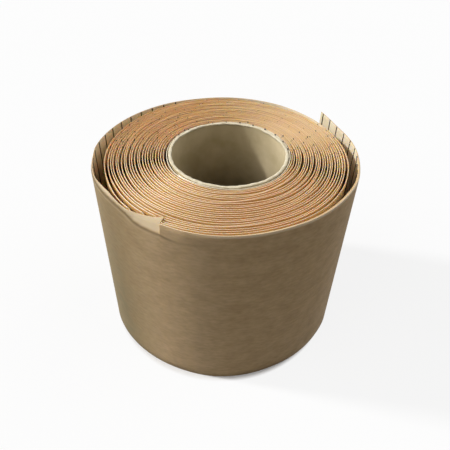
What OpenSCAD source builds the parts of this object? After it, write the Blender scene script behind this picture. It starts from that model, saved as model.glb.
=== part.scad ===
// Roll of kraft-faced felt strip on a paperboard core, standing on its end with its outer lap sprung loose.
// Millimetres. The core axis is Z and the roll stands on the plane z = 0.

/* [Core tube] */
// Bore of the paperboard core
core_bore_d = 76; // [25:1:152]
// Wall of the paperboard core
core_wall = 2; // [1:0.25:6]
// Radial clearance between the core and the first turn
core_clear = 0.15; // [0.05:0.05:0.5]

/* [Strip] */
// Width of the strip, which is the height of the standing roll
strip_w = 138; // [40:1:600]
// Thickness of the strip
strip_t = 0.6; // [0.4:0.05:1.5]
// Air gap between two tight turns
turn_gap = 1.05; // [0.3:0.05:1.5]
// Number of tight turns under the loose lap
tight_turns = 25; // [6:1:40]
// How deep the air gaps are open at each end
gap_depth = 6; // [1:0.5:15]

/* [Loose lap] */
// How far the slack loop stands off the roll at its middle
loop_slack = 7; // [3:0.5:15]
// Direction, from +X, of the middle of the loop
loop_az = -174; // [-195:1:-150]
// Angle from the middle of the loop to where the lap lies close again
loop_half = 72; // [50:1:74]
// Direction, from +X, at which the lap's last stretch ends inside the roll
dip_end_az = 40; // [20:1:50]
// How far the end of that stretch is pressed into the roll
lap_bite = 0.4; // [0.2:0.05:0.6]
// Angle of one facet of the lap's curves
lap_facet = 3; // [1:1:6]

/* [Free tail] */
// Direction, from +X, at which the tail leaves the roll
tail_az = -55; // [-70:1:-30]
// Straight run from there to the bend
tail_lead = 7; // [3:1:30]
// Outer radius of the bend
tail_bend_r = 81; // [60:1:100]
// Angle of the bend
tail_bend_angle = 75; // [30:1:80]
// Straight run from the bend to the cut end
tail_end = 30; // [5:1:60]

/* [Output] */
// Node to draw

/* [Hidden] */
$fn = 96;
core_bore_r = core_bore_d / 2;
core_r = core_bore_r + core_wall;
turn_pitch = strip_t + turn_gap;
first_turn_r = core_r + core_clear;
roll_r = first_turn_r + tight_turns * turn_pitch - turn_gap;
lap_r = roll_r + turn_pitch;
lap_end_r = roll_r - lap_bite;
loop_shift = loop_slack / (1 - cos(loop_half));
loop_r = lap_r + loop_slack - loop_shift;
// The last stretch is an arc whose centre lies off the core axis, so that it starts at lap_r and ends at lap_end_r.
dip_fall = 2 * (lap_r * lap_r - lap_end_r * lap_end_r) / (1 - sin(dip_end_az));
dip_shift = (lap_r - sqrt(lap_r * lap_r - dip_fall)) / 2;
cut_az = tail_az + tail_bend_angle;
bend_centre = (lap_r - tail_bend_r) * dir(tail_az) + tail_lead * dir(tail_az + 90);

function dir(az) = [cos(az), sin(az)];
function turn_in(i) = first_turn_r + i * turn_pitch;
function turn_out(i) = turn_in(i) + strip_t;

// Points on a circle, from one direction to another, one for each facet of the lap.
function arc(centre, r, from_az, to_az) =
  let (n = ceil(abs(to_az - from_az) / lap_facet))
  [for (k = [0 : n]) centre + r * dir(from_az + (to_az - from_az) * k / n)];

// One face of the lap, at a depth under its outer face: cut end, bend, close front, slack loop, close back,
// dip under the roll's last turn. The straight stretches lie between the end of one arc and the start of the next.
function lap_face(depth) = concat(
  [bend_centre + (tail_bend_r - depth) * dir(cut_az) + tail_end * dir(cut_az + 90)],
  arc(bend_centre, tail_bend_r - depth, cut_az, tail_az),
  arc([0, 0], lap_r - depth, tail_az, loop_az + loop_half),
  arc(loop_shift * dir(loop_az), loop_r - depth, loop_az + loop_half, loop_az - loop_half),
  arc([0, 0], lap_r - depth, loop_az - loop_half, -270),
  arc([0, dip_shift], lap_r - dip_shift - depth, 90, dip_end_az)
);

// Paperboard tube that the strip is wound on.
module core_tube() {
  color("#d2b996")
    rotate_extrude()
      translate([core_bore_r, 0])
        square([core_wall, strip_w]);
}

// Half section of the tight winding: a comb whose teeth are the turns, open between them at both ends.
module winding_section() {
  inner_turns = [0 : tight_turns - 2];
  bottom = [for (i = inner_turns) each [
    [turn_in(i), 0],
    [turn_out(i), 0],
    [turn_out(i), gap_depth],
    [turn_in(i + 1), gap_depth]
  ]];
  last = tight_turns - 1;
  edge = [[turn_in(last), 0], [roll_r, 0], [roll_r, strip_w], [turn_in(last), strip_w]];
  top = [for (i = inner_turns) let (k = last - i) each [
    [turn_in(k), strip_w - gap_depth],
    [turn_out(k - 1), strip_w - gap_depth],
    [turn_out(k - 1), strip_w],
    [turn_in(k - 1), strip_w]
  ]];
  polygon(concat(bottom, edge, top));
}

// Loose lap as one bent strip, from the cut end of the tail to where it dips under the roll's last turn.
module loose_lap() {
  outer = lap_face(0);
  inner = lap_face(strip_t);
  last = len(inner) - 1;
  linear_extrude(height = strip_w)
    polygon(concat(outer, [for (k = [0 : last]) inner[last - k]]));
}

// The wound strip: tight turns with their gaps and the loose lap, all one length of stock.
module felt_roll() {
  color("#9c8c6e")
    union() {
      rotate_extrude()
        winding_section();
      loose_lap();
    }
}

core_tube();
felt_roll();
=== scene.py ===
"""Roll of kraft-faced felt strip on a paperboard core: looks, floor, light and camera.

Lengths are millimetres and become metres when a mesh is made. Azimuths are degrees from +X, seen from
above, and the core axis is Z.
"""

import bpy
import numpy as np
from mathutils import Matrix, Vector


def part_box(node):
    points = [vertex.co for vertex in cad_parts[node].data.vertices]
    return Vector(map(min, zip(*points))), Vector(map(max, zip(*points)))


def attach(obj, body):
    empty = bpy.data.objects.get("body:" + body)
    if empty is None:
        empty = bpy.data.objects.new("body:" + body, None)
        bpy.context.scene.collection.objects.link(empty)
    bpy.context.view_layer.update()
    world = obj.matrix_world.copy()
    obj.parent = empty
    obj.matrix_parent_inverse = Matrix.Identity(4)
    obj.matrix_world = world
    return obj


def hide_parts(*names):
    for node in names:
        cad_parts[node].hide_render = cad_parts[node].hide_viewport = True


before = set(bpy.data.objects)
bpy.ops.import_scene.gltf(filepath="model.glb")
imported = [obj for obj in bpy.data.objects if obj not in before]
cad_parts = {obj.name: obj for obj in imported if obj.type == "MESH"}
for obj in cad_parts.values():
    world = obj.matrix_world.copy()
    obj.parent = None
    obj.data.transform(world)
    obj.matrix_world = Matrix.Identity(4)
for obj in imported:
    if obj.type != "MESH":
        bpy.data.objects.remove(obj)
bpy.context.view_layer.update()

MM = 0.001
ROLL_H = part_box("felt_roll")[1][2] / MM     # strip width: the roll stands on its end
CORE_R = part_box("core_tube")[1][0] / MM     # outside of the paperboard core
CORE_WALL = 2.0
STRIP_T = 0.60                              # thickness of the strip
INNER_END = 25.5                            # turns from the cut end of the tail in to the inner end
RING_TURN = 1.4                             # the turn whose radius is the measured ring
TAIL_AZ = 41.0                              # where the tail's cut end stands
THREAD_GAP = 10.18                          # spacing of the dark threads along the strip
THREAD_W = 1.0
THREAD_H = 0.32
FIRST_SHIFT = -3.4                          # shift of the threads on the turn around the core
FIRST_GAP = 0.6                             # room for the threads between the core and the turn around it
FIRST_R = CORE_R + FIRST_GAP + STRIP_T      # outer face of that turn
SECOND_GAP = 0.15                           # room between that turn and the next
RING_R = 79.4                               # mean radius of the measured ring
RING_OFF = 1.6, 0.5                         # how far its centre lies off the core's, to -X and to -Y
RING_FULL = 1.2                             # how far the ring stands out at the left front
FULL_RISE, FULL_FALL = (205, 240), (258, 292)
TURN_STRAY = 0.33                           # how far a tight turn strays in or out
EDGE_STRAY = 0.45                           # how far its edge strays up or down
LOOSE_TAIL, LOOSE_BRUISE = 0.6, 1.5         # how far the ring stands off under the tail and under the bruise
BRUISE_TURN, BRUISE_SPAN = 1.495, 0.04      # where on the ring the bruise presses, in turns
LIFT_SPAN = 40                              # height below the top edge that takes up a lift of the edge
EDGE_ROUND = 0.3                            # height of the edge's rounding
# Period in turns, phase and size of the sines that make the winding uneven.
WAVES = [(0.731, 0.4, 1.0), (0.417, 2.1, 1.0), (0.2371, 4.0, 1.0), (1.618, 1.3, 0.7)]
WAVE_SIZE = 2.6


def smooth_curve(x, xs, ys):
    """Cubic through the points (xs, ys): Hermite pieces whose slopes are those of the two neighbours."""
    xs, ys = np.asarray(xs, float), np.asarray(ys, float)
    slope = np.gradient(ys, xs)
    i = np.clip(np.searchsorted(xs, x) - 1, 0, len(xs) - 2)
    step = xs[i + 1] - xs[i]
    t = np.clip((x - xs[i]) / step, 0, 1)
    return (ys[i] * (1 + 2 * t) * (1 - t) ** 2 + ys[i + 1] * t * t * (3 - 2 * t)
            + step * t * (1 - t) * (slope[i] * (1 - t) - slope[i + 1] * t))


def smooth_step(x, low, high):
    """0 below low, 1 above high, and 3t^2 - 2t^3 between them."""
    t = np.clip((x - low) / (high - low), 0, 1)
    return t * t * (3 - 2 * t)


def ring_radius(az):
    """Outermost tight turn: a circle whose centre lies a little off the core's, fuller at the left front."""
    az = az % 360
    full = smooth_step(az, *FULL_RISE) * (1 - smooth_step(az, *FULL_FALL))
    x, y = np.cos(np.radians(az)), np.sin(np.radians(az))
    return RING_R - RING_OFF[0] * x - RING_OFF[1] * y + RING_FULL * full


def uneven(turn):
    """Unevenness of the winding along the strip, about -1 to 1: sines whose periods, in turns, share no
    common multiple, so that no two turns lie alike."""
    return sum(size * np.sin(2 * np.pi * turn / period + phase) for period, phase, size in WAVES) / WAVE_SIZE


# Radius of the loose lap's outer face, by azimuth: close at the back, slack at the left, close along the
# front, then off the roll as the free tail.
LAP_AT = [41, 60, 90, 108, 120, 134, 143, 150, 158, 164, 170, 175, 181, 188, 194, 200, 210, 220, 230, 240,
          250, 257, 270, 280, 290, 298, 305, 312, 320, 330, 341, 350, 357, 363, 373, 380, 387, 393, 401]
LAP_R = [79.9, 80.4, 80.5, 81.6, 83.1, 84.5, 85.5, 86.4, 87.4, 88.1, 88.7, 89.1, 89.4, 89.5, 89.4, 89.1, 87.9,
         86.5, 85.2, 84.1, 83.3, 83.1, 82.8, 82.3, 81.9, 81.9, 82.4, 82.9, 83.5, 84.5, 85.9, 86.1, 86.4, 86.9,
         87.6, 87.7, 88.3, 90.0, 93.4]

# The lap's bruised top edge at the left front, by azimuth: how far the edge rides up, how far the part
# above the crease leans inwards, and where the crease lies under the roll's end. It ends in a tear, and the
# crease runs out beyond it.
BRUISE_AT = [180, 188, 195, 200, 204, 210, 215, 219, 223, 227, 231, 235, 239, 243.2, 243.7, 246, 249, 252,
             270]
EDGE_RISE = [0, 0.1, 0.5, 0.9, 1.3, 2.3, 2.6, 1.9, 0.7, -0.3, -0.5, 0.0, 0.9, 2.6, 0, 0, 0, 0, 0]
EDGE_LEAN = [0, 15, 35, 44, 46, 47, 44, 42, 40, 38, 36, 37, 39, 42, 6, 5, 3, 1, 0]
CREASE_UNDER = [6, 2.4, 1.0, 0.5, 0.3, 0.2, 0.4, 0.6, 1.4, 2.9, 5.8, 7.0, 7.4, 7.6, 7.7, 8.6, 9.6, 10.4, 6]
CREASE_ELSEWHERE = 6                        # under the roll's end, where nothing is creased
CREASE_BEND = 0.7                           # half height of the bend
TEAR_AZ = 243.5
PRESSED_FROM, MOST_PRESSED = 225, 6         # azimuth from which the lip presses on the turns, and how far

# The lap's top edge is fluffed out along the right front: how many times its thickness is added, by azimuth.
FLUFF_AT = [262, 284, 298, 312, 328, 352, 364]
FLUFF = [0, 0.7, 0.7, 1.3, 1.8, 1.8, 0]
FLUFF_RISE = 3.0, 0.2                       # under the edge: where the fluff starts, and where it is full


def radius(turn):
    """Outer face of the strip at a turn counted inwards from the tail: the lap's table, then equal steps,
    a little uneven, from the ring in to the second turn, which steps down on to the turn around the core.
    The outermost tight turn stands a little loose under the tail and under the bruised edge."""
    az = TAIL_AZ - 360 * turn
    step = STRIP_T + SECOND_GAP
    second = INNER_END - 1
    r = FIRST_R + step * (1 - smooth_step(turn, second + 0.01, second + 0.1))
    r += (ring_radius(az) - FIRST_R - step) * np.maximum(second - turn, 0) / (second - RING_TURN)
    r += TURN_STRAY * uneven(turn) * smooth_step(turn, 1.0, 1.6) * (1 - smooth_step(turn, 23.0, 24.0))
    r += (LOOSE_TAIL * (1 - smooth_step(turn, 1.2, 1.5))
          + LOOSE_BRUISE * np.exp(-((turn - BRUISE_TURN) / BRUISE_SPAN) ** 2))
    lap = smooth_curve(TAIL_AZ + 360 * (1 - turn), LAP_AT, LAP_R)
    return r + (lap - r) * (1 - smooth_step(turn, 0.94, 1.0))


def strip_path():
    """The strip's outer face seen from above, from its inner end out to the cut end of the tail, with
    more stations along the lap, along the bruise, and at the flap on the lap and the six turns under it."""
    tight, lap, bruised, under = 3000, 661, 120, 6
    flap = np.array([226, 229, 231, 233, 235, 237, 239, 241, 242.5, 243.1, 243.3, 243.5, 243.7, 244.2])
    flap = 1 - (flap - TAIL_AZ) / 360 + np.arange(under + 1)[:, None]
    turn = np.concatenate([np.linspace(INNER_END, 1.1, tight), np.linspace(1.1, 0, lap), flap.ravel(),
                           np.linspace(0.44, 0.62, bruised)])
    turn = np.unique(turn.round(6))[::-1]
    az = TAIL_AZ - 360 * turn
    r = radius(turn)
    x, y = r * np.cos(np.radians(az)), r * np.sin(np.radians(az))
    length = np.concatenate([[0], np.cumsum(np.hypot(np.diff(x), np.diff(y)))])
    tx, ty = np.gradient(x, length), np.gradient(y, length)
    size = np.hypot(tx, ty)
    return dict(length=length, turn=turn, x=x, y=y, nx=ty / size, ny=-tx / size)


PATH = strip_path()
STRIP_LENGTH = PATH["length"][-1]


def length_at(turn):
    """Length along the strip at a turn."""
    return float(np.interp(-turn, -PATH["turn"], PATH["length"]))


def lap_length(az):
    """Length along the strip at an azimuth of the lap."""
    return length_at(1 - (az - TAIL_AZ) / 360)


TIGHT_FROM = length_at(INNER_END - 1)       # where the tight turns start, off the turn around the core
LAP_FROM = lap_length(TAIL_AZ - 10)         # where the loose lap starts
TIGHT_FADE, LAP_FADE = 8, 5                 # lengths over which a finish changes there


def bruise(turn):
    """Lift of the top edge, lean above the crease in radians, and height of the crease, at a turn.

    The lap takes them from its tables. A turn under the leaning edge is pressed down: its edge stays
    below the plane that rises inwards from the crease at the angle of the lean."""
    az = TAIL_AZ + 360 * (1 - turn % 1)
    rise = np.interp(az, BRUISE_AT, EDGE_RISE, 0, 0)
    lean = np.radians(np.interp(az, BRUISE_AT, EDGE_LEAN, 0, 0))
    crease = ROLL_H - np.interp(az, BRUISE_AT, CREASE_UNDER, CREASE_ELSEWHERE, CREASE_ELSEWHERE)
    inwards = radius(turn % 1) - radius(turn)
    reach = (ROLL_H + rise - crease) * np.sin(lean)
    least_lean, room, beyond = 0.05, 1.0, 0.5
    plane = crease + inwards / np.tan(np.maximum(lean, least_lean)) - room
    under = (inwards < reach + beyond) & (az > PRESSED_FROM)
    pressed = np.where(under, np.maximum(ROLL_H - plane, 0), 0)
    lap = turn < 1
    lift = np.where(lap, rise, -np.minimum(pressed, MOST_PRESSED))
    lift += EDGE_STRAY * uneven(turn * 1.7 + 11) * smooth_step(turn, 0.2, 1.2)
    return lift, np.where(lap, lean, 0), np.where(lap, crease, ROLL_H - CREASE_ELSEWHERE)


def above_crease(turn, across):
    """Height of a place across the strip before it leans, its height above the crease, and the lean, at a
    turn. The lift stretches the top LIFT_SPAN."""
    lift, lean, crease = bruise(turn)
    z = across + lift * np.clip((across - ROLL_H) / LIFT_SPAN + 1, 0, 1)
    return z, z - crease, lean


def strip_point(along, across, depth):
    """Points of the strip: along its length, across its width from the foot, and at a depth under its
    outer face.

    The path gives the place and the normal seen from above. Above the crease the width leans inwards, with
    a parabola for the bend. Where the edge is fluffed out the depth grows towards it."""
    along, across, depth = np.broadcast_arrays(along, across, depth)
    at = {k: np.interp(along, PATH["length"], PATH[k]) for k in ("turn", "x", "y", "nx", "ny")}
    fluff = np.interp(TAIL_AZ + 360 * (1 - at["turn"]), FLUFF_AT, FLUFF, 0, 0)
    depth = depth * (1 + fluff * smooth_step(across, *(ROLL_H - v for v in FLUFF_RISE)))
    z, over, lean = above_crease(at["turn"], across)
    bent = np.where(over > CREASE_BEND, over, np.clip(over + CREASE_BEND, 0, None) ** 2 / (4 * CREASE_BEND))
    side = -bent * np.sin(lean) - depth * (1 - (1 - np.cos(lean)) * (over > 0))
    z = z - bent * (1 - np.cos(lean)) - depth * np.sin(lean) * (over > 0)
    return np.stack([at["x"] + at["nx"] * side, at["y"] + at["ny"] * side, z], -1)


def face_columns(along):
    """Places across one face, from the foot to the top, for each station: closer together at the edges
    and on both sides of the crease."""
    turn = np.interp(along, PATH["length"], PATH["turn"])
    lift, _, crease = bruise(turn)
    stretch = np.where(turn < 1, lift, 0)
    under = (crease - ROLL_H - stretch) / (1 + stretch / LIFT_SPAN)
    top = np.full_like(turn, -EDGE_ROUND)
    knee = CREASE_BEND / (1 + stretch / LIFT_SPAN)
    low = [np.full_like(turn, v - ROLL_H) for v in (EDGE_ROUND, 6, 70)]
    high = [under - 9, under - knee, under, under + knee, (under + knee + top) / 2, top]
    return ROLL_H + np.stack(low + high, -1)


def grid_faces(rows, cols, closed=False):
    """Quads of a rows by cols grid of points whose last column joins the first, and whose last row joins
    the first where it is closed."""
    r, c = np.arange(rows if closed else rows - 1)[:, None], np.arange(cols)[None]
    m, n = (r + 1) % rows, (c + 1) % cols
    corners = np.broadcast_arrays(r * cols + c, m * cols + c, m * cols + n, r * cols + n)
    return np.stack(corners, -1).reshape(-1, 4)


def make_piece(name, points, faces, materials, face_material=None, uv=None, marks=None):
    """A smooth shaded mesh object from points in millimetres and arrays of faces. uv is each point's place
    on the strip, and marks are further numbers that it carries."""
    loops = np.concatenate([f.ravel() for f in faces]).astype(np.int32)
    sizes = np.concatenate([np.full(len(f), f.shape[1]) for f in faces])
    starts = np.concatenate([[0], np.cumsum(sizes)[:-1]]).astype(np.int32)
    mesh = bpy.data.meshes.new(name)
    points = np.asarray(points, float).reshape(-1, 3) * MM
    mesh.vertices.add(len(points))
    mesh.vertices.foreach_set("co", points.ravel())
    mesh.loops.add(len(loops))
    mesh.loops.foreach_set("vertex_index", loops)
    mesh.polygons.add(len(starts))
    mesh.polygons.foreach_set("loop_start", starts)
    for m in materials:
        mesh.materials.append(m)
    if face_material is not None:
        mesh.polygons.foreach_set("material_index", np.asarray(face_material, np.int32))
    mesh.polygons.foreach_set("use_smooth", np.ones(len(starts), bool))
    if uv is not None:
        layer = mesh.uv_layers.new(name="strip")
        layer.data.foreach_set("uv", np.asarray(uv, float).reshape(-1, 2)[loops].ravel())
    for key, value in (marks or {}).items():
        mesh.attributes.new(key, "FLOAT", "POINT").data.foreach_set("value", np.asarray(value, float).ravel())
    mesh.update(calc_edges=True)
    mesh.validate()
    piece = bpy.data.objects.new(name, mesh)
    bpy.context.collection.objects.link(piece)
    return piece


def linear(code):
    """sRGB hex to linear RGBA."""
    c = np.array([int(code[i:i + 2], 16) for i in (1, 3, 5)]) / 255
    return (*np.where(c <= 0.04045, c / 12.92, ((c + 0.055) / 1.055) ** 2.4), 1.0)


def add(tree, kind, inputs=None, **settings):
    """Adds a node, sets its properties, and gives each input a value or a link."""
    node = tree.nodes.new(kind)
    for key, value in settings.items():
        setattr(node, key, value)
    for key, value in (inputs or {}).items():
        if isinstance(value, bpy.types.NodeSocket):
            tree.links.new(value, node.inputs[key])
        else:
            node.inputs[key].default_value = value
    return node


def new_material(name):
    """An empty node material and its tree, with the output's surface socket to link to."""
    material = bpy.data.materials.new(name)
    material.use_nodes = True
    tree = material.node_tree
    tree.nodes.clear()
    return material, tree, add(tree, "ShaderNodeOutputMaterial").inputs["Surface"]


# Light comes through the thin strip near its edges, redder the further it has gone.
GLOW = {"Subsurface Radius": (1.0, 0.66, 0.19), "Subsurface Scale": 1.2 * MM}
GLOW_SHARE = 0.9                            # share of it on the margins of the tight turns
LAP_GLOW = 0.2                              # and on the loose lap
CORE_PAPER = "#e2d6ba"                      # edge of the turn that is stuck to the core
KRAFT_HIGHLIGHT, CREASE_SHADE = "#dac4a0", "#6f5c40"         # painted highlight on the kraft paper, and painted shade in a fold
LEFT_SHADE_TINT, LEFT_FRONT_LIGHT = "#a8b1ab", "#4c463e"           # painted shade taken from the kraft paper at the left, and painted light added to it at the left front
STREAK = 5.0, 1.8                           # length and width of a fibre streak, drawn coarse to show
CLOUD = 13.0, 9.0                           # length and width of a cloud of the mottling
FIBRE = 38.0                                # length of a change of colour along the cut edge
SEEP_BAND = 6.0, 2.0                           # off the edge: where the painted warm light of a margin starts, and where it is full
BORE_SHADE_SPAN = 4.0, 70.0                          # under the roll's end: where the painted shade in the core starts, and where it is full


def band(tree, value, rise, fall=None):
    """A share of 0 to 1 that rises over one interval of a value, and falls again over the other."""
    up = add(tree, "ShaderNodeMapRange", {"Value": value, "From Min": rise[0], "From Max": rise[1]})
    if not fall:
        return up.outputs[0]
    down = add(tree, "ShaderNodeMapRange", {"Value": value, "From Min": fall[1], "From Max": fall[0]})
    both = add(tree, "ShaderNodeMath", {0: up.outputs[0], 1: down.outputs[0]}, operation="MULTIPLY")
    return both.outputs[0]


def tinted(tree, colour, shares, tint, most=1.0, blend="MIX"):
    """A colour brought to a tint by the product of some shares, at most by the most."""
    amount = most
    for share in shares:
        amount = add(tree, "ShaderNodeMath", {0: share, 1: amount}, operation="MULTIPLY").outputs[0]
    return add(tree, "ShaderNodeMix", {0: amount, 6: colour.outputs[2], 7: linear(tint)},
               data_type="RGBA", blend_type=blend)


def wound_tight(tree, along):
    """1 on the tight turns, 0 on the turn around the core and on the loose lap."""
    return band(tree, along, (TIGHT_FROM, TIGHT_FROM + TIGHT_FADE), (LAP_FROM - LAP_FADE, LAP_FROM))


def glowing(tree, along, tight):
    """Share of the light that passes into the strip: most on a tight turn's margin, some on the lap."""
    lap = band(tree, along, (LAP_FROM - LAP_FADE, LAP_FROM))
    some = add(tree, "ShaderNodeMath", {0: lap, 1: LAP_GLOW}, operation="MULTIPLY").outputs[0]
    share = add(tree, "ShaderNodeMath", {0: tight, 1: GLOW_SHARE, 2: some}, operation="MULTIPLY_ADD")
    return share.outputs[0]


def strip_face(name, dark, light, seep_colour, shine, light_and_shade=None):
    """Paper or felt face of the strip: short fibre streaks along the strip over cloudy mottling. On the tight
    turns the margins next to the edges are painted warmer: painted light that bounces between the turns and
    comes through the strip."""
    material, tree, out = new_material(name)
    uv = add(tree, "ShaderNodeUVMap", uv_map="strip").outputs["UV"]
    streak_at = add(tree, "ShaderNodeMapping", {"Vector": uv, "Scale": (1 / STREAK[0], 1 / STREAK[1], 1)})
    streak = add(tree, "ShaderNodeTexNoise", {"Vector": streak_at.outputs[0], "Scale": 1.0, "Detail": 4.0})
    cloud_at = add(tree, "ShaderNodeMapping", {"Vector": uv, "Scale": (1 / CLOUD[0], 1 / CLOUD[1], 1)})
    cloud = add(tree, "ShaderNodeTexNoise", {"Vector": cloud_at.outputs[0], "Scale": 1.0, "Detail": 4.0})
    both = add(tree, "ShaderNodeMath", {0: streak.outputs[0], 1: cloud.outputs[0]}, operation="ADD")
    mix = add(tree, "ShaderNodeMapRange", {"Value": both.outputs[0], "From Min": 0.7, "From Max": 1.3})
    colour = add(tree, "ShaderNodeMix", {0: mix.outputs[0], 6: linear(dark), 7: linear(light)},
                 data_type="RGBA")
    place = add(tree, "ShaderNodeSeparateXYZ", {0: uv})
    middle = add(tree, "ShaderNodeMath", {0: place.outputs[1], 1: ROLL_H / 2}, operation="SUBTRACT")
    off = add(tree, "ShaderNodeMath", {0: middle.outputs[0]}, operation="ABSOLUTE")
    # painted light: the margins of the tight turns warmer, for light bounced between the turns and coming
    # through the strip
    near = band(tree, off.outputs[0], (ROLL_H / 2 - SEEP_BAND[0], ROLL_H / 2 - SEEP_BAND[1]))
    along = place.outputs[0]
    seep_share = add(tree, "ShaderNodeMath", {0: near, 1: wound_tight(tree, along)}, operation="MULTIPLY")
    colour = add(tree, "ShaderNodeMix", {0: seep_share.outputs[0], 6: colour.outputs[2], 7: linear(seep_colour)},
                 data_type="RGBA")
    if light_and_shade:
        colour = light_and_shade(tree, place, cloud, colour)
    relief = add(tree, "ShaderNodeBump", {"Height": both.outputs[0], "Strength": 0.2, "Distance": 0.0004})
    shade = add(tree, "ShaderNodeBsdfPrincipled", {
        "Base Color": colour.outputs[2], "Normal": relief.outputs[0],
        "Subsurface Weight": glowing(tree, along, seep_share.outputs[0]), **shine, **GLOW})
    tree.links.new(shade.outputs[0], out)
    return material


def kraft_painted_light(tree, place, cloud, colour):
    """Painted light and shade on the lap's paper: painted shade, greyer and darker, at the left and more
    towards the foot;
    a painted band of light at the left front; painted highlights along the top edge at the front and above
    the crease; and painted shade along the fold with a painted highlight on the ridge under it."""
    along, across = place.outputs[0], place.outputs[1]
    # painted shade: the lap darker and greyer at the left, more so towards the foot and in patches
    left_shade = band(tree, along, (lap_length(140), lap_length(175)), (lap_length(216), lap_length(242)))
    low = add(tree, "ShaderNodeMapRange", {"Value": across, "From Min": ROLL_H, "From Max": 40.0,
                                           "To Min": 0.65, "To Max": 1.0}).outputs[0]
    patchy = add(tree, "ShaderNodeMapRange", {"Value": cloud.outputs[0], "From Min": 0.3, "From Max": 0.6,
                                              "To Min": 0.75, "To Max": 1.0}).outputs[0]
    colour = tinted(tree, colour, (left_shade, low, patchy), LEFT_SHADE_TINT, blend="MULTIPLY")
    # painted highlight: a pale band just under the lap's top edge along the front, where the edge catches the
    # light
    front = band(tree, along, (lap_length(255), lap_length(268)))
    colour = tinted(tree, colour, (front, band(tree, across, (ROLL_H - 2.4, ROLL_H - 1.4))), KRAFT_HIGHLIGHT)
    # painted light: a lighter band added along the left front of the lap, where its side faces the light
    left_front_lit = band(tree, along, (lap_length(222), lap_length(238)), (lap_length(258), lap_length(274)))
    colour = tinted(tree, colour, (left_front_lit,), LEFT_FRONT_LIGHT, blend="ADD")
    leaning = add(tree, "ShaderNodeAttribute", attribute_name="leaning").outputs["Fac"]
    folded = add(tree, "ShaderNodeAttribute", attribute_name="folded").outputs["Fac"]
    over = add(tree, "ShaderNodeAttribute", attribute_name="over_crease").outputs["Fac"]
    # painted highlight: the leaning panel above the crease paler, and a weaker one on the ridge under the
    # crease
    colour = tinted(tree, colour, (leaning, band(tree, over, (0.3, 2.0))), KRAFT_HIGHLIGHT)
    colour = tinted(tree, colour, (leaning, band(tree, over, (-3.6, -2.4), (-2.2, -1.4))), KRAFT_HIGHLIGHT, 0.3)
    # painted shade along the crease, here and where it runs out beyond the tear
    return tinted(tree, colour, (folded, band(tree, over, (-1.6, -0.2), (0.2, 1.2))), CREASE_SHADE, 0.6)


def cut_edge(name, dark, light, shine):
    """Sheared edge of the strip: pale paper and felt fibre, waxy, so that the rounded edge takes a gloss."""
    material, tree, out = new_material(name)
    uv = add(tree, "ShaderNodeUVMap", uv_map="strip").outputs["UV"]
    at = add(tree, "ShaderNodeMapping", {"Vector": uv, "Scale": (1 / FIBRE, 1 / FIBRE, 1)})
    fibre = add(tree, "ShaderNodeTexNoise", {"Vector": at.outputs[0], "Scale": 1.0, "Detail": 3.0})
    mix = add(tree, "ShaderNodeMapRange", {"Value": fibre.outputs[0], "From Min": 0.35, "From Max": 0.65})
    colour = add(tree, "ShaderNodeMix", {0: mix.outputs[0], 6: linear(dark), 7: linear(light)},
                 data_type="RGBA")
    along = add(tree, "ShaderNodeSeparateXYZ", {0: uv}).outputs[0]
    first = band(tree, along, (TIGHT_FROM + TIGHT_FADE, TIGHT_FROM))
    colour = tinted(tree, colour, (first,), CORE_PAPER)
    shade = add(tree, "ShaderNodeBsdfPrincipled", {
        "Base Color": colour.outputs[2], **shine, **GLOW,
        "Subsurface Weight": glowing(tree, along, wound_tight(tree, along))})
    tree.links.new(shade.outputs[0], out)
    return material


def paperboard(name, dark, light, speck, shade_tint=None):
    """Paperboard: grey-brown pulp with a cloudy grain and a dull surface, with painted shade further down,
    where it is darkened by the shade tint."""
    material, tree, out = new_material(name)
    at = add(tree, "ShaderNodeTexCoord").outputs["Object"]
    cloud = add(tree, "ShaderNodeTexNoise", {"Vector": at, "Scale": 1 / (speck * MM), "Detail": 4.0})
    mix = add(tree, "ShaderNodeMapRange", {"Value": cloud.outputs[0], "From Min": 0.32, "From Max": 0.68})
    colour = add(tree, "ShaderNodeMix", {0: mix.outputs[0], 6: linear(dark), 7: linear(light)},
                 data_type="RGBA")
    if shade_tint:
        # painted shade: the core's inside darker further down, where little light reaches
        height = add(tree, "ShaderNodeSeparateXYZ", {0: at}).outputs[2]
        down = band(tree, height, ((ROLL_H - BORE_SHADE_SPAN[0]) * MM, (ROLL_H - BORE_SHADE_SPAN[1]) * MM))
        colour = tinted(tree, colour, (down,), shade_tint, blend="MULTIPLY")
    relief = add(tree, "ShaderNodeBump", {"Height": cloud.outputs[0], "Strength": 0.2, "Distance": 0.0005})
    shade = add(tree, "ShaderNodeBsdfPrincipled", {"Base Color": colour.outputs[2], "Roughness": 0.75,
                                                   "Normal": relief.outputs[0]})
    tree.links.new(shade.outputs[0], out)
    return material


def dark_thread():
    """Dark waxed thread: brown where the wax has rubbed thin."""
    material, tree, out = new_material("dark_waxed_thread")
    at = add(tree, "ShaderNodeTexCoord").outputs["Object"]
    rub = add(tree, "ShaderNodeTexNoise", {"Vector": at, "Scale": 1 / (3 * MM), "Detail": 2.0})
    colour = add(tree, "ShaderNodeMix", {0: rub.outputs[0], 6: linear("#241c10"), 7: linear("#4a3c26")},
                 data_type="RGBA")
    shade = add(tree, "ShaderNodeBsdfPrincipled", {"Base Color": colour.outputs[2], "Roughness": 0.6})
    tree.links.new(shade.outputs[0], out)
    return material


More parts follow.
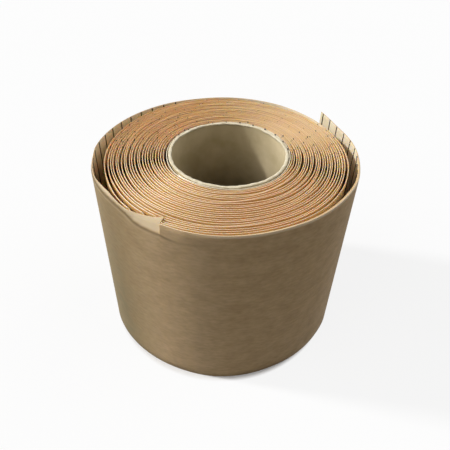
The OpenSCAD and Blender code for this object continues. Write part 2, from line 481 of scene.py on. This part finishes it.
# the third colour of each face is painted light, bounced and seeping, on the margins of the tight turns
KRAFT = strip_face("unbleached_kraft_facing", "#b09268", "#cbac80", "#d4aa6c",
                   {"Roughness": 0.65, "Specular IOR Level": 0.3}, kraft_painted_light)
FELT = strip_face("buff_felt_face", "#e2d3b2", "#ece0c6", "#d2b48a", {"Roughness": 0.7})
KRAFT_EDGE = cut_edge("sheared_kraft_edge", "#cea870", "#dec08c",
                      {"Roughness": 0.5, "IOR": 1.9, "Specular IOR Level": 1.0})
FELT_EDGE = cut_edge("sheared_felt_edge", "#caa674", "#d8ba8c", {"Roughness": 0.5, "IOR": 1.55})
# its last colour is painted shade deep inside the core
BOARD = paperboard("spiral_wound_paperboard", "#c2b189", "#dccba5", 16, "#847f7a")
TORN = paperboard("torn_paperboard", "#ddcfae", "#f0e6cc", 3)
THREAD = dark_thread()


def felt_strip():
    """The whole strip: its closed section, outer face up, over the rounded top edge, inner face down,
    under the foot edge, carried along the path, with a cap at each end."""
    along = PATH["length"]
    face = face_columns(along)
    rows, k = face.shape
    ends = np.full((rows, 1), ROLL_H), np.zeros((rows, 1))
    across = np.concatenate([face, ends[0], face[:, ::-1], ends[1]], 1)
    depth = STRIP_T * np.concatenate([np.zeros(k), [0.5], np.ones(k), [0.5]])
    cols = len(depth)
    points = strip_point(along[:, None], across, depth[None])
    i = np.arange(k - 1)
    cap = np.stack([i, i + 1, 2 * k - 1 - i, 2 * k - i], -1)
    tips = np.array([[k - 1, k, k + 1], [cols - 1, 0, cols - 2]])
    last = (rows - 1) * cols
    faces = [grid_faces(rows, cols), cap, tips, cap[:, ::-1] + last, tips[:, ::-1] + last]
    column = np.full(cols, 2)
    column[:k - 1], column[k + 1:2 * k], column[[k, 2 * k]] = 0, 1, 3
    which = np.concatenate([np.tile(column, rows - 1), np.full(2 * len(cap) + 2 * len(tips), 2)])
    uv = np.stack(np.broadcast_arrays(along[:, None], across), -1)
    turn = PATH["turn"][:, None]
    over, lean = above_crease(turn, across)[1:]
    folded = np.clip(lean / 0.1, 0, 1)
    leaning = folded * (TAIL_AZ + 360 * (1 - turn) < TEAR_AZ)
    marks = {k: np.broadcast_to(v, over.shape) for k, v in
             dict(folded=folded, leaning=leaning, over_crease=over).items()}
    piece = make_piece("felt_strip", points, faces, [KRAFT, FELT, KRAFT_EDGE, FELT_EDGE], which, uv, marks)
    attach(piece, "root")
    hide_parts("felt_roll")
    return piece


def cross_threads():
    """Dark threads across the inner face, one every THREAD_GAP along the strip and a little astray: a flat
    half-round rib carried up the width. They reach the top edge where the lap stands off, and end a little
    short of it on the tight turns. At the back of the core they stand above it."""
    rng = np.random.default_rng(7)
    from_tail, from_inner, astray = 3.4, 4, 0.9
    at = np.arange(STRIP_LENGTH - from_tail, from_inner, -THREAD_GAP)
    turn = np.interp(at, PATH["length"], PATH["turn"])
    az = (TAIL_AZ - 360 * turn) % 360
    first = turn > INNER_END - 1
    tail, slack_from, slack_to = 0.17, 117, 200
    loose = (turn < 1) & ((turn < tail) | (az > slack_from) & (az < slack_to))
    at = at + np.where(first, FIRST_SHIFT, np.where(loose, 0, rng.uniform(-astray, astray, len(at))))
    short = np.where(loose, 0.1, rng.uniform(0.2, 2.0, len(at)) + (turn < 1))
    above, back_to = 0.6, 155
    short = np.where(first, np.where(az < back_to, -above, above), short)
    across = np.array([0.1, 70, ROLL_H - 12, ROLL_H - 7, ROLL_H - 5, ROLL_H - 3, ROLL_H - 1.5, ROLL_H])
    across = across[None] - short[:, None] * (across > ROLL_H / 2)
    side = np.array([-0.5, -0.3, 0.3, 0.5]) * THREAD_W
    height = np.where(first, FIRST_GAP - 0.03, THREAD_H)[:, None, None]
    depth = STRIP_T + np.where(np.abs(side) < 0.4 * THREAD_W, height, -0.05)
    points = strip_point(at[:, None, None] + side, across[..., None], depth)
    rows, cols = across.shape[1], len(side)
    ends = np.array([[0, 1, 2, 3], [3, 2, 1, 0]])
    ends[1] += (rows - 1) * cols
    one = np.concatenate([grid_faces(rows, cols), ends])
    faces = (one[None] + np.arange(len(at))[:, None, None] * rows * cols).reshape(-1, 4)
    piece = make_piece("cross_threads", points, [faces], [THREAD])
    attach(piece, "root")
    return piece


def core_fringe():
    """Torn paper around the core's upper end: a low ragged bead. A flat half-round section goes round the
    rim, and its inner radius, outer radius and height each waver by sines of whole-number frequency."""
    stations = 480
    around = np.linspace(0, 2 * np.pi, stations, endpoint=False)[:, None]

    def waver(k, phase):
        return (np.sin(k * around + phase) + 0.7 * np.sin((2 * k + 5) * around + 2.3 * phase)
                + 0.6 * np.sin((4 * k + 7) * around + 3.1 * phase)) / 2

    shift, mean_height = 0.1, 0.4
    inner = CORE_R - CORE_WALL - shift + 0.3 * waver(7, 0.5)
    outer = CORE_R - shift + 0.25 * waver(9, 1.7)
    height = mean_height + 0.25 * waver(11, 2.9)
    share = np.array([1, 1, 0.8, 0.2, 0, 0])
    up = np.array([-0.8, 0.5, 1, 1, 0.5, -0.8])
    r = inner + (outer - inner) * share
    z = ROLL_H + np.where(up > 0, up * height, up)
    points = np.stack([r * np.cos(around), r * np.sin(around), z], -1)
    piece = make_piece("core_fringe", points, [grid_faces(stations, len(share), True)], [TORN])
    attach(piece, "root")
    return piece


felt_strip()
cross_threads()
core_fringe()
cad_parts["core_tube"].data.materials.clear()
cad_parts["core_tube"].data.materials.append(BOARD)


def seen_white(tree):
    """1 for the rays that show the white surroundings: from the camera, off a gloss or through something."""
    path = add(tree, "ShaderNodeLightPath")
    seen = path.outputs["Is Camera Ray"]
    for ray in ("Is Glossy Ray", "Is Transmission Ray"):
        seen = add(tree, "ShaderNodeMath", {0: seen, 1: path.outputs[ray]}, operation="MAXIMUM").outputs[0]
    return seen


def floor():
    """Plain white floor that stays white to the camera and keeps part of the roll's shadow. Under the roll it
    is matte alone, and as dark as the little light there leaves it. To other rays it is a mid grey, so that
    it throws little light back on the roll's side. It lies a hair under the foot."""
    white_share = 0.85
    middle, covered, open_from = -3, 84, 87
    half, under_foot = 4000.0, 0.05
    material, tree, out = new_material("white_floor")
    path = add(tree, "ShaderNodeLightPath")
    shown = add(tree, "ShaderNodeMix", {0: path.outputs["Is Camera Ray"], 6: linear("#8c8c8c"),
                                        7: linear("#f4f4f4")}, data_type="RGBA")
    matte = add(tree, "ShaderNodeBsdfDiffuse", {"Color": shown.outputs[2]})
    white = add(tree, "ShaderNodeEmission", {"Color": (1, 1, 1, 1), "Strength": 1.0})
    at = add(tree, "ShaderNodeTexCoord").outputs["Object"]
    away = add(tree, "ShaderNodeVectorMath", {0: at, 1: (middle * MM, 0, 0)}, operation="DISTANCE")
    clear = band(tree, away.outputs["Value"], (covered * MM, open_from * MM))
    clear = add(tree, "ShaderNodeMath", {0: clear, 1: white_share}, operation="MULTIPLY")
    share = add(tree, "ShaderNodeMath", {0: seen_white(tree), 1: clear.outputs[0]}, operation="MULTIPLY")
    mix = add(tree, "ShaderNodeMixShader", {0: share.outputs[0], 1: matte.outputs[0], 2: white.outputs[0]})
    tree.links.new(mix.outputs[0], out)
    x, y = np.meshgrid([-half, half], [-half, half])
    points = np.stack([x, y, np.full_like(x, -under_foot)], -1)
    piece = make_piece("floor", points, [np.array([[0, 1, 3, 2]])], [material])


def sun(name, az, el, energy, spread):
    """A distant lamp in a direction, energy on a face square to it, and apparent size in degrees."""
    lamp = bpy.data.lights.new(name, "SUN")
    lamp.energy = energy
    lamp.angle = np.radians(spread)
    az, el = np.radians(az), np.radians(el)
    to_lamp = np.array([np.cos(el) * np.cos(az), np.cos(el) * np.sin(az), np.sin(el)])
    side = np.cross([0, 0, 1], to_lamp)
    side /= np.linalg.norm(side)
    turn = np.eye(4)
    turn[:3, :3] = np.stack([side, np.cross(to_lamp, side), to_lamp], 1)
    piece = bpy.data.objects.new(name, lamp)
    piece.matrix_world = Matrix(turn.tolist())
    bpy.context.collection.objects.link(piece)


def light():
    """A low key from the left, a wide soft fill from the left front, a weak one from the right, and an
    even pale sky."""
    sky = 0.085
    world = bpy.data.worlds.new("sky")
    bpy.context.scene.world = world
    world.use_nodes = True
    tree = world.node_tree
    tree.nodes.clear()
    even = add(tree, "ShaderNodeBackground", {"Color": (1, 1, 1, 1), "Strength": sky})
    white = add(tree, "ShaderNodeBackground", {"Color": (1, 1, 1, 1), "Strength": 1.0})
    mix = add(tree, "ShaderNodeMixShader", {0: seen_white(tree), 1: even.outputs[0], 2: white.outputs[0]})
    add(tree, "ShaderNodeOutputWorld", {"Surface": mix.outputs[0]})
    sun("key", 170, 36, 2.65, 6)
    sun("left_fill", 205, 42, 0.9, 50)
    sun("right_fill", 10, 48, 0.75, 60)


def camera():
    """The photograph's viewpoint: place, downward pitch, slight roll and lens, for a square frame."""
    pitch, roll = 0.7168, 0.0286
    across, back, above = -0.98, -266.2, 167.7
    focal, picture, sensor = 467.3, 450, 36
    ahead = np.array([0, np.cos(pitch), -np.sin(pitch)])
    right = np.array([1.0, 0, 0])
    up = np.cross(right, ahead)
    right, up = np.cos(roll) * right + np.sin(roll) * up, np.cos(roll) * up - np.sin(roll) * right
    place = np.eye(4)
    place[:3, :3] = np.stack([right, up, -ahead], 1)
    place[:3, 3] = np.array([across, back, ROLL_H + above]) * MM
    data = bpy.data.cameras.new("camera")
    data.sensor_fit = "HORIZONTAL"
    data.sensor_width = sensor
    data.lens = focal / picture * sensor
    data.clip_start = 0.01
    eye = bpy.data.objects.new("camera", data)
    eye.matrix_world = Matrix(place.tolist())
    bpy.context.collection.objects.link(eye)
    bpy.context.scene.camera = eye


floor()
light()
camera()
bpy.context.scene.view_settings.view_transform = "Standard"
